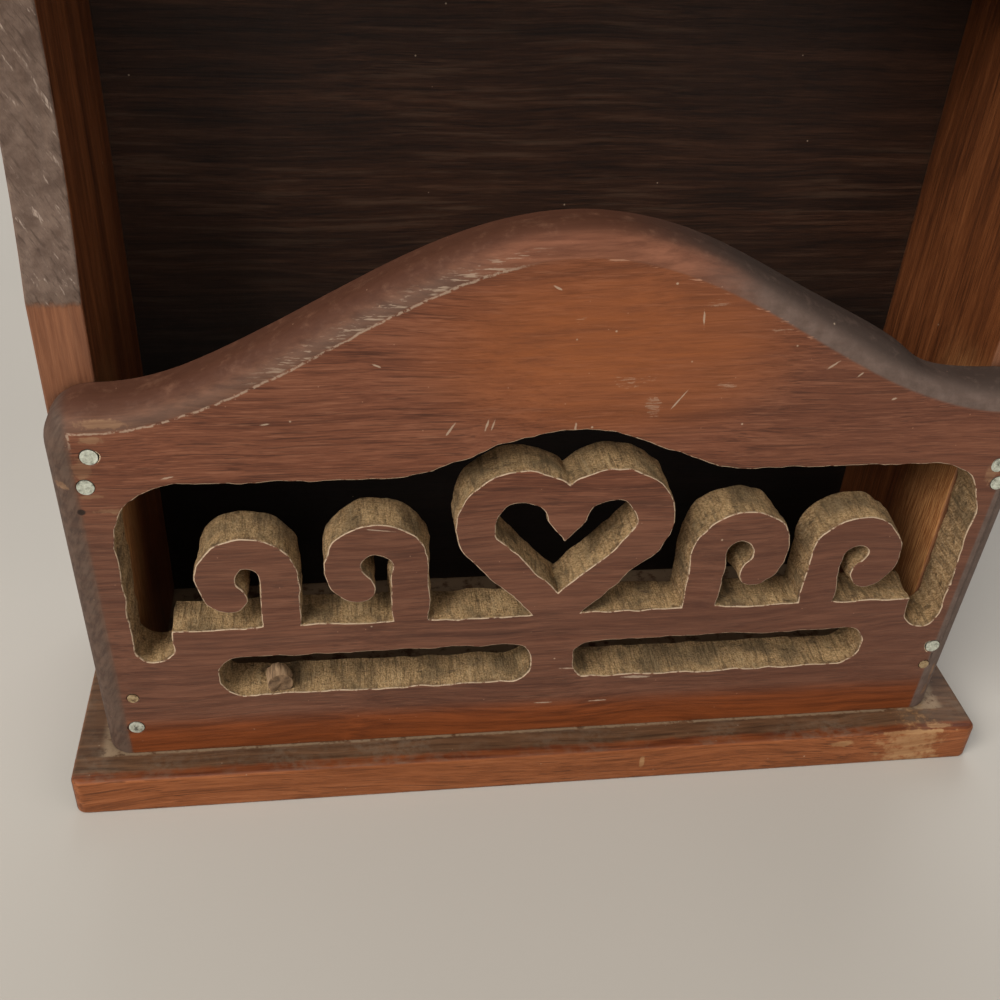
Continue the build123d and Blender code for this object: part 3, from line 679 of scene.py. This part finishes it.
def back_finish():
    """Stain darkened nearly black with painted shade, greyed in streaks where the varnish has dulled.
    """
    f = Wood("back_panel_stain", 4.0, "x", 8.0)
    f.stain(*SHADED_BACK_TONES, blotches=0.8)
    f.end_grain(SHADED_BACK_TONES[0], SHADED_BACK_TONES[1])
    dull = f.product(f.between(f.streaks, 0.5, 0.66), f.between(f.blotch, 0.42, 0.6), 0.36)
    f.tint(dull, (0.085, 0.052, 0.032))
    # painted shade, near black deep in the pocket
    deep = f.product(f.between(f.z, *BACK_SHADE), f.faces_front())
    f.tint(f.product(deep, 0.92), (0.003, 0.0016, 0.001))
    f.rubbed(0.15, (0.16, 0.1, 0.06))
    f.grime_and_shade(0.6)
    f.specks(PALE_CHIP, 0.35, 0.24)
    f.grain_relief(0.35)
    f.set(Specular_IOR_Level=0.3)
    return f.done(f.sheen(0.5, 0.7))


def nail_finish(name, seed, tones, rough):
    """Dull nail head with rust-brown grime and hammer marks."""
    f = Finish(name, seed)
    grime = f.noise(f.space, 1.1, 5.0, 0.65)
    dark, light = tones
    rust = tuple(0.3 * c for c in dark)
    f.colour = f.ramp(grime, (0.34, rust), (0.46, dark), (0.66, light))
    # grime and painted shade where the head meets the wood
    f.tint(f.product(f.crevice(0.6 * MM), 0.5), (0.03, 0.02, 0.014))
    f.relief(grime, 0.3, 0.25 * MM)
    f.set(Metallic=0.6)
    return f.done(f.calc("MULTIPLY_ADD", grime, 0.25, rough))


# ---------------------------------------------------------------- shaping
def clear_selection():
    bpy.ops.object.select_all(action="DESELECT")


def make_active(piece):
    clear_selection()
    piece.select_set(True)
    bpy.context.view_layer.objects.active = piece


@contextmanager
def editing(piece):
    """Edit mode on one piece, all of it selected at first and nothing at the end."""
    make_active(piece)
    bpy.ops.object.mode_set(mode="EDIT")
    bpy.ops.mesh.select_all(action="SELECT")
    yield
    bpy.ops.mesh.select_all(action="DESELECT")
    bpy.ops.object.mode_set(mode="OBJECT")


def apply_modifier(piece, kind, **settings):
    modifier = piece.modifiers.new(kind.lower(), kind)
    for name, value in settings.items():
        setattr(modifier, name, value)
    make_active(piece)
    bpy.ops.object.modifier_apply(modifier=modifier.name)


def copy_of(node, name):
    """A piece with its own merged copy of a node's mesh, flat faces made whole."""
    piece = bpy.data.objects.new(name, nodes[node].data.copy())
    bpy.context.scene.collection.objects.link(piece)
    with editing(piece):
        bpy.ops.mesh.remove_doubles(threshold=0.002 * MM)
        bpy.ops.mesh.dissolve_limited(angle_limit=radians(0.4))
    return piece


def ease_edges(piece, width, within=False):
    """Worn rounding along a piece's sharp edges, held within short faces where asked."""
    apply_modifier(
        piece, "BEVEL", width=width, segments=2, limit_method="ANGLE",
        angle_limit=radians(40), use_clamp_overlap=within,
    )


def smooth(piece, angle=35):
    """Smooth shading that keeps flat faces flat."""
    make_active(piece)
    bpy.ops.object.shade_smooth_by_angle(angle=radians(angle))
    apply_modifier(piece, "WEIGHTED_NORMAL", keep_sharp=True)


def paint(piece, material):
    """Give a piece one material and no other."""
    piece.data.materials.clear()
    piece.data.materials.append(material)


def finish_piece(piece, material, body, slot, *replaced):
    """Give a finished piece its material and body, and hide the nodes that it stands for. Its slot is
    not used.
    """
    paint(piece, material)
    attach(piece, body)
    if replaced:
        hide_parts(*replaced)


def worn_board(node, name, material, body, slot, width=EDGE, within=False):
    """A board with eased edges in place of its node."""
    piece = copy_of(node, name)
    ease_edges(piece, width, within)
    smooth(piece)
    finish_piece(piece, material, body, slot, node)


def even_steps(low, high, step):
    """Places from low to high, about a step apart."""
    count = round((high - low) / step)
    return [low + (high - low) * n / count for n in range(count + 1)]


def cut_through(piece, across, places):
    """Cut a piece's faces along parallel planes, leaving it whole."""
    with editing(piece):
        for place in places:
            bpy.ops.mesh.select_all(action="SELECT")
            bpy.ops.mesh.bisect(plane_co=Vector(across) * place * MM, plane_no=across)


def vertices_where(piece, name, belongs):
    """Named group of the vertices whose place, in millimetres, belongs."""
    chosen = [v.index for v in piece.data.vertices if belongs(*(v.co / MM))]
    piece.vertex_groups.new(name=name).add(chosen, 1.0, "REPLACE")
    return name


def stray(piece, group, direction, size, reach, basis):
    """Shift a group of vertices to and fro by up to half a reach, in wanders of a given size."""
    texture = bpy.data.textures.new(f"{piece.name}_{direction.lower()}", "CLOUDS")
    texture.noise_scale = size * MM
    texture.noise_depth = 2
    texture.noise_basis = basis
    apply_modifier(
        piece, "DISPLACE", texture=texture, texture_coords="LOCAL", direction=direction,
        strength=reach * MM, mid_level=0.5, vertex_group=group,
    )


def point_the_cleft(piece):
    """Draw the square end of the heart's cleft down to a point."""
    with editing(piece):
        bpy.ops.mesh.select_mode(type="VERT")
        mesh = bmesh.from_edit_mesh(piece.data)
        for v in mesh.verts:
            x, _, z = v.co / MM
            v.select = abs(x - CLEFT[0]) < CLEFT_HALF + 0.1 and abs(z - CLEFT[1]) < 0.05
        mesh.select_flush_mode()
        bmesh.update_edit_mesh(piece.data)
        middle = (CLEFT[0] * MM, 0.0, CLEFT[1] * MM)
        bpy.ops.transform.resize(value=(CLEFT_NARROW, 1.0, 1.0), center_override=middle)
        bpy.ops.transform.translate(value=(0.0, 0.0, -CLEFT_DROP * MM))


def sawn_front_panel():
    """The front panel, its fretwork walls straying and torn as a hand saw leaves them."""
    piece = copy_of("front_panel", "fretwork_panel")
    point_the_cleft(piece)
    ease_edges(piece, ARRIS)
    cut_through(piece, (1, 0, 0), even_steps(FRET_LEFT, FRET_RIGHT, SAW_STEP))
    cut_through(piece, (0, 0, 1), even_steps(FRET_FOOT, FRET_TOP, SAW_STEP))
    depths = even_steps(FACE_Y + WALL_STEP, PANEL_BACK_Y - WALL_STEP, WALL_STEP)
    cut_through(piece, (0, 1, 0), depths)

    def in_fretwork(x, y, z):
        return FRET_LEFT < x < FRET_RIGHT and FRET_FOOT < z < FRET_TOP

    def in_wall(x, y, z):
        return in_fretwork(x, y, z) and FACE_Y + WALL_SKIN < y < PANEL_BACK_Y - WALL_SKIN

    region = vertices_where(piece, "fretwork", in_fretwork)
    stray(piece, region, "X", *OUTLINE_STRAY, "ORIGINAL_PERLIN")
    stray(piece, region, "Z", *OUTLINE_STRAY, "IMPROVED_PERLIN")
    walls = vertices_where(piece, "walls", in_wall)
    stray(piece, walls, "NORMAL", *WALL_STRAY, "ORIGINAL_PERLIN")
    smooth(piece, 50)
    return piece


def saw_stub():
    """Broken stub of wood that the saw left standing in the left slot."""
    clear_selection()
    bpy.ops.mesh.primitive_cylinder_add(
        vertices=16, radius=STUB_HALF * MM, depth=STUB_LONG * MM, end_fill_type="TRIFAN",
        location=Vector(STUB_PLACE) * MM, rotation=(radians(90), 0.0, STUB_TILT),
    )
    piece = bpy.context.active_object
    piece.name = "saw_stub"
    bpy.ops.object.transform_apply(location=True, rotation=True, scale=True)
    with editing(piece):
        bpy.ops.mesh.subdivide(number_cuts=3)
    ragged = vertices_where(piece, "ragged", lambda x, y, z: True)
    stray(piece, ragged, "NORMAL", *STUB_STRAY, "ORIGINAL_PERLIN")
    stray(piece, ragged, "X", *STUB_LEAN, "IMPROVED_PERLIN")
    smooth(piece, 40)
    return piece


stub_wood = board_finish("stub_wood", 14.0, "y", STUB_TONES, (0.7, 0.9))
finish_piece(sawn_front_panel(), front_finish(), "case", "front_wood", "front_panel")
finish_piece(saw_stub(), stub_wood, "case", "front_wood")

# ---------------------------------------------------------------- boards of the case and the drawer
BOX_LOOK = {"tones": BOX_TONES, "gloss": (0.6, 0.8), "wear": 0.3, "grime_shade": 0.4, "worn": BOX_WORN}

top_stain = board_finish("top_board_stain", 3.0, "x", TOP_TONES, wear=0.45)
shelf_stain = board_finish("shelf_stain", 5.0, "x", SHELF_TONES)
drawer_stain = board_finish("drawer_front_stain", 6.0, "x", FACE_TONES, (0.32, 0.52))
box_wood = board_finish("drawer_box_wood", 7.0, "x", **BOX_LOOK)
box_side_wood = board_finish("drawer_side_wood", 8.0, "y", **BOX_LOOK)

worn_board("base_board", "worn_base_board", base_finish(), "case", "base_wood")
worn_board("top_board", "worn_top_board", top_stain, "case", "base_wood")
worn_board("back_panel", "worn_back_panel", back_finish(), "case", "back_wood", within=True)
worn_board("shelf", "worn_shelf", shelf_stain, "case", "side_wood", FINE_EDGE)
worn_board("left_side", "worn_left_side", side_finish("left_side_stain", 9.0), "case", "side_wood")
worn_board("right_side", "worn_right_side", side_finish("right_side_stain", 10.0), "case", "side_wood")
worn_board("drawer_front", "worn_drawer_front", drawer_stain, "drawer", "front_wood", FINE_EDGE)
worn_board("drawer_left_side", "drawer_box_left", box_side_wood, "drawer", "drawer_wood", FINE_EDGE)
worn_board("drawer_right_side", "drawer_box_right", box_side_wood, "drawer", "drawer_wood", FINE_EDGE)
worn_board("drawer_back", "drawer_box_back", box_wood, "drawer", "drawer_wood", FINE_EDGE)
worn_board("drawer_bottom", "drawer_box_bottom", box_wood, "drawer", "drawer_wood", FINE_EDGE)

# ---------------------------------------------------------------- nails and knob
nail_grey = nail_finish("nail_grey", 11.0, NAIL_TONES, 0.4)
brad_brown = nail_finish("brad_brown", 12.0, BRAD_TONES, 0.35)
for node, thing in nodes.items():
    if node.endswith(("_nails", "_tacks")):
        paint(thing, nail_grey)
    elif node.endswith(("_brads", "_screw")):
        paint(thing, brad_brown)

knob_stain = board_finish("knob_stain", 13.0, "y", FACE_TONES, (0.26, 0.4), 0.5)
worn_board("drawer_knob", "turned_knob", knob_stain, "drawer", "knob_wood", FINE_EDGE)


# ---------------------------------------------------------------- floor, light, camera
FLOOR_SIZE = 40.0
FLOOR_FADE = (700.0, 3200.0)  # where the table top begins and ends fading into the room
FAR_GLOW = 0.95  # strength of the far floor's own light, as the camera sees it
ROOM_COLOUR = (0.86, 0.84, 0.8)
ROOM_STRENGTH = 0.36  # of the room's light on things
SEEN_STRENGTH = 0.75  # of the room as the camera sees it

CAMERA_PLACE = Vector((-44.243, -216.999, 212.034)) * MM  # solved from the boards' corners
CAMERA_TURN = (0.16318, 0.61786, 0.06302)  # yaw, pitch and roll
SENSOR = 36.0
FOCAL_SHARE = 1.15684  # focal length over the frame's width
CLIP_START = 0.01


def pale_ground():
    """Pale table top under everything."""
    f = Finish("pale_ground", 20.0)
    tone = f.noise(f.space, 0.004, 3.0, 0.5)
    f.colour = f.ramp(tone, (0.3, (0.45, 0.42, 0.378)), (0.7, (0.51, 0.477, 0.428)))
    f.relief(f.noise(f.space, 0.6, 3.0, 0.6), 0.05, 0.3 * MM)
    reach = f.add("ShaderNodeVectorMath", operation="LENGTH")
    f.feed(reach.inputs[0], f.true_space)
    far = f.between(reach.outputs["Value"], *FLOOR_FADE)
    seen = f.product(far, f.add("ShaderNodeLightPath").outputs["Is Camera Ray"], FAR_GLOW)
    f.feed(f.shader.inputs["Emission Color"], f.colour)
    f.feed(f.shader.inputs["Emission Strength"], seen)
    clear_selection()
    bpy.ops.mesh.primitive_plane_add(size=FLOOR_SIZE, location=(0.0, 0.0, 0.0))
    floor = bpy.context.active_object
    floor.name = "ground"
    floor.data.materials.append(f.done(0.6))


def soft_lamp(name, place, aim, size, power, colour):
    """Large soft area lamp."""
    data = bpy.data.lights.new(name, "AREA")
    data.shape = "RECTANGLE"
    data.size, data.size_y = size
    data.energy = power
    data.color = colour
    lamp = bpy.data.objects.new(name, data)
    bpy.context.scene.collection.objects.link(lamp)
    lamp.location = place
    lamp.rotation_mode = "QUATERNION"
    lamp.rotation_quaternion = (Vector(aim) - Vector(place)).to_track_quat("-Z", "Y")


def pale_room():
    """Even room light, which the camera sees brighter than it shines."""
    world = bpy.data.worlds.new("pale_room")
    bpy.context.scene.world = world
    world.use_nodes = True
    room = world.node_tree.nodes["Background"]
    room.inputs["Color"].default_value = (*ROOM_COLOUR, 1.0)
    seen = world.node_tree.nodes.new("ShaderNodeLightPath")
    glow = world.node_tree.nodes.new("ShaderNodeMath")
    glow.operation = "MULTIPLY_ADD"
    world.node_tree.links.new(seen.outputs["Is Camera Ray"], glow.inputs[0])
    glow.inputs[1].default_value = SEEN_STRENGTH - ROOM_STRENGTH
    glow.inputs[2].default_value = ROOM_STRENGTH
    world.node_tree.links.new(glow.outputs[0], room.inputs["Strength"])


def front_camera():
    """Camera looking down into the pocket from in front."""
    yaw, pitch, roll = CAMERA_TURN
    ahead = Vector((sin(yaw) * cos(pitch), cos(yaw) * cos(pitch), -sin(pitch)))
    level = Vector((cos(yaw), -sin(yaw), 0.0))
    up = level.cross(ahead)
    right = level * cos(roll) + up * sin(roll)
    above = up * cos(roll) - level * sin(roll)
    data = bpy.data.cameras.new("front_camera")
    data.sensor_width = SENSOR
    data.lens = FOCAL_SHARE * SENSOR
    data.clip_start = CLIP_START
    camera = bpy.data.objects.new("front_camera", data)
    bpy.context.scene.collection.objects.link(camera)
    turn = Matrix((right, above, -ahead)).transposed()
    camera.matrix_world = Matrix.Translation(CAMERA_PLACE) @ turn.to_4x4()
    bpy.context.scene.camera = camera


pale_ground()
soft_lamp(
    "window_light", place=(-0.95, -0.8, 1.1), aim=(0.0, 0.0, 0.1), size=(0.9, 0.9),
    power=25.4, colour=(1.0, 0.97, 0.93),
)
soft_lamp(
    "room_light", place=(0.9, -0.9, 0.7), aim=(0.0, 0.0, 0.1), size=(1.2, 1.2),
    power=4.0, colour=(1.0, 0.95, 0.9),
)
soft_lamp(
    "back_light", place=(0.3, 1.1, 0.9), aim=(0.0, 0.0, 0.15), size=(1.2, 1.0),
    power=7.0, colour=(0.97, 0.98, 1.0),
)
pale_room()
front_camera()
bpy.context.scene.view_settings.view_transform = "Standard"
